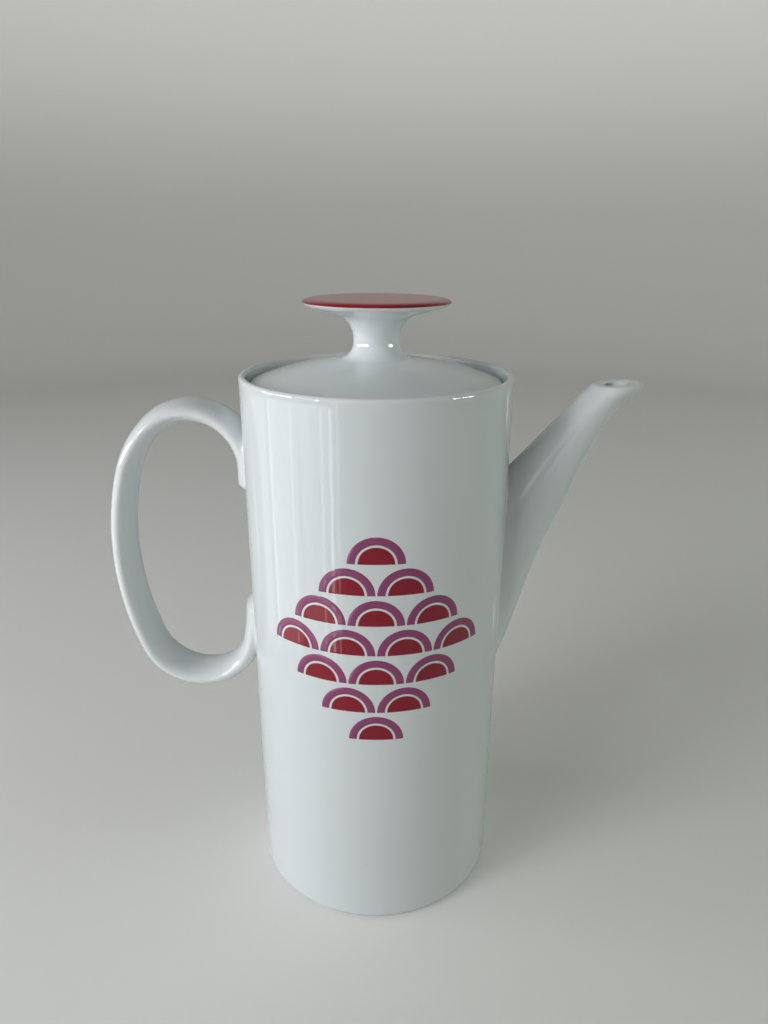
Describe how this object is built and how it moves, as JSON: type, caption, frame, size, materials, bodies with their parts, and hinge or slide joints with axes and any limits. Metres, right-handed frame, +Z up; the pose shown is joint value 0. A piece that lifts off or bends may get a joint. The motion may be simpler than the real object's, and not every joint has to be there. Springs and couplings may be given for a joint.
{
  "type": "coffee pot",
  "caption": "Tall tapered porcelain coffee pot with a slanting spout, a ribbon loop handle, a lift-off domed lid with a disc knob, and a printed fan ornament.",
  "frame": {"origin": "centre of the foot ring, on the table", "axes": "+Z up along the pot's axis, +X towards the spout, -X towards the handle, -Y and +Y through the printed sides"},
  "size_m": [0.2015, 0.1, 0.2356],
  "materials": {
    "porcelain": "gloss",
    "red_enamel": "gloss",
    "red_print": "gloss",
    "mauve_print": "gloss"
  },
  "bodies": {
    "pot": {"pot_body": "porcelain", "spout": "porcelain", "handle": "porcelain", "front_print_red": "red_print", "front_print_mauve": "mauve_print", "back_print_red": "red_print", "back_print_mauve": "mauve_print"},
    "lid": {"lid_cover": "porcelain", "lid_knob": "porcelain", "knob_enamel": "red_enamel"}
  },
  "joints": [
    {"name": "lid_lift", "type": "slide", "parent": "pot", "child": "lid", "axis": [0, 0, 1], "range_m": [0, 0.08]}
  ]
}
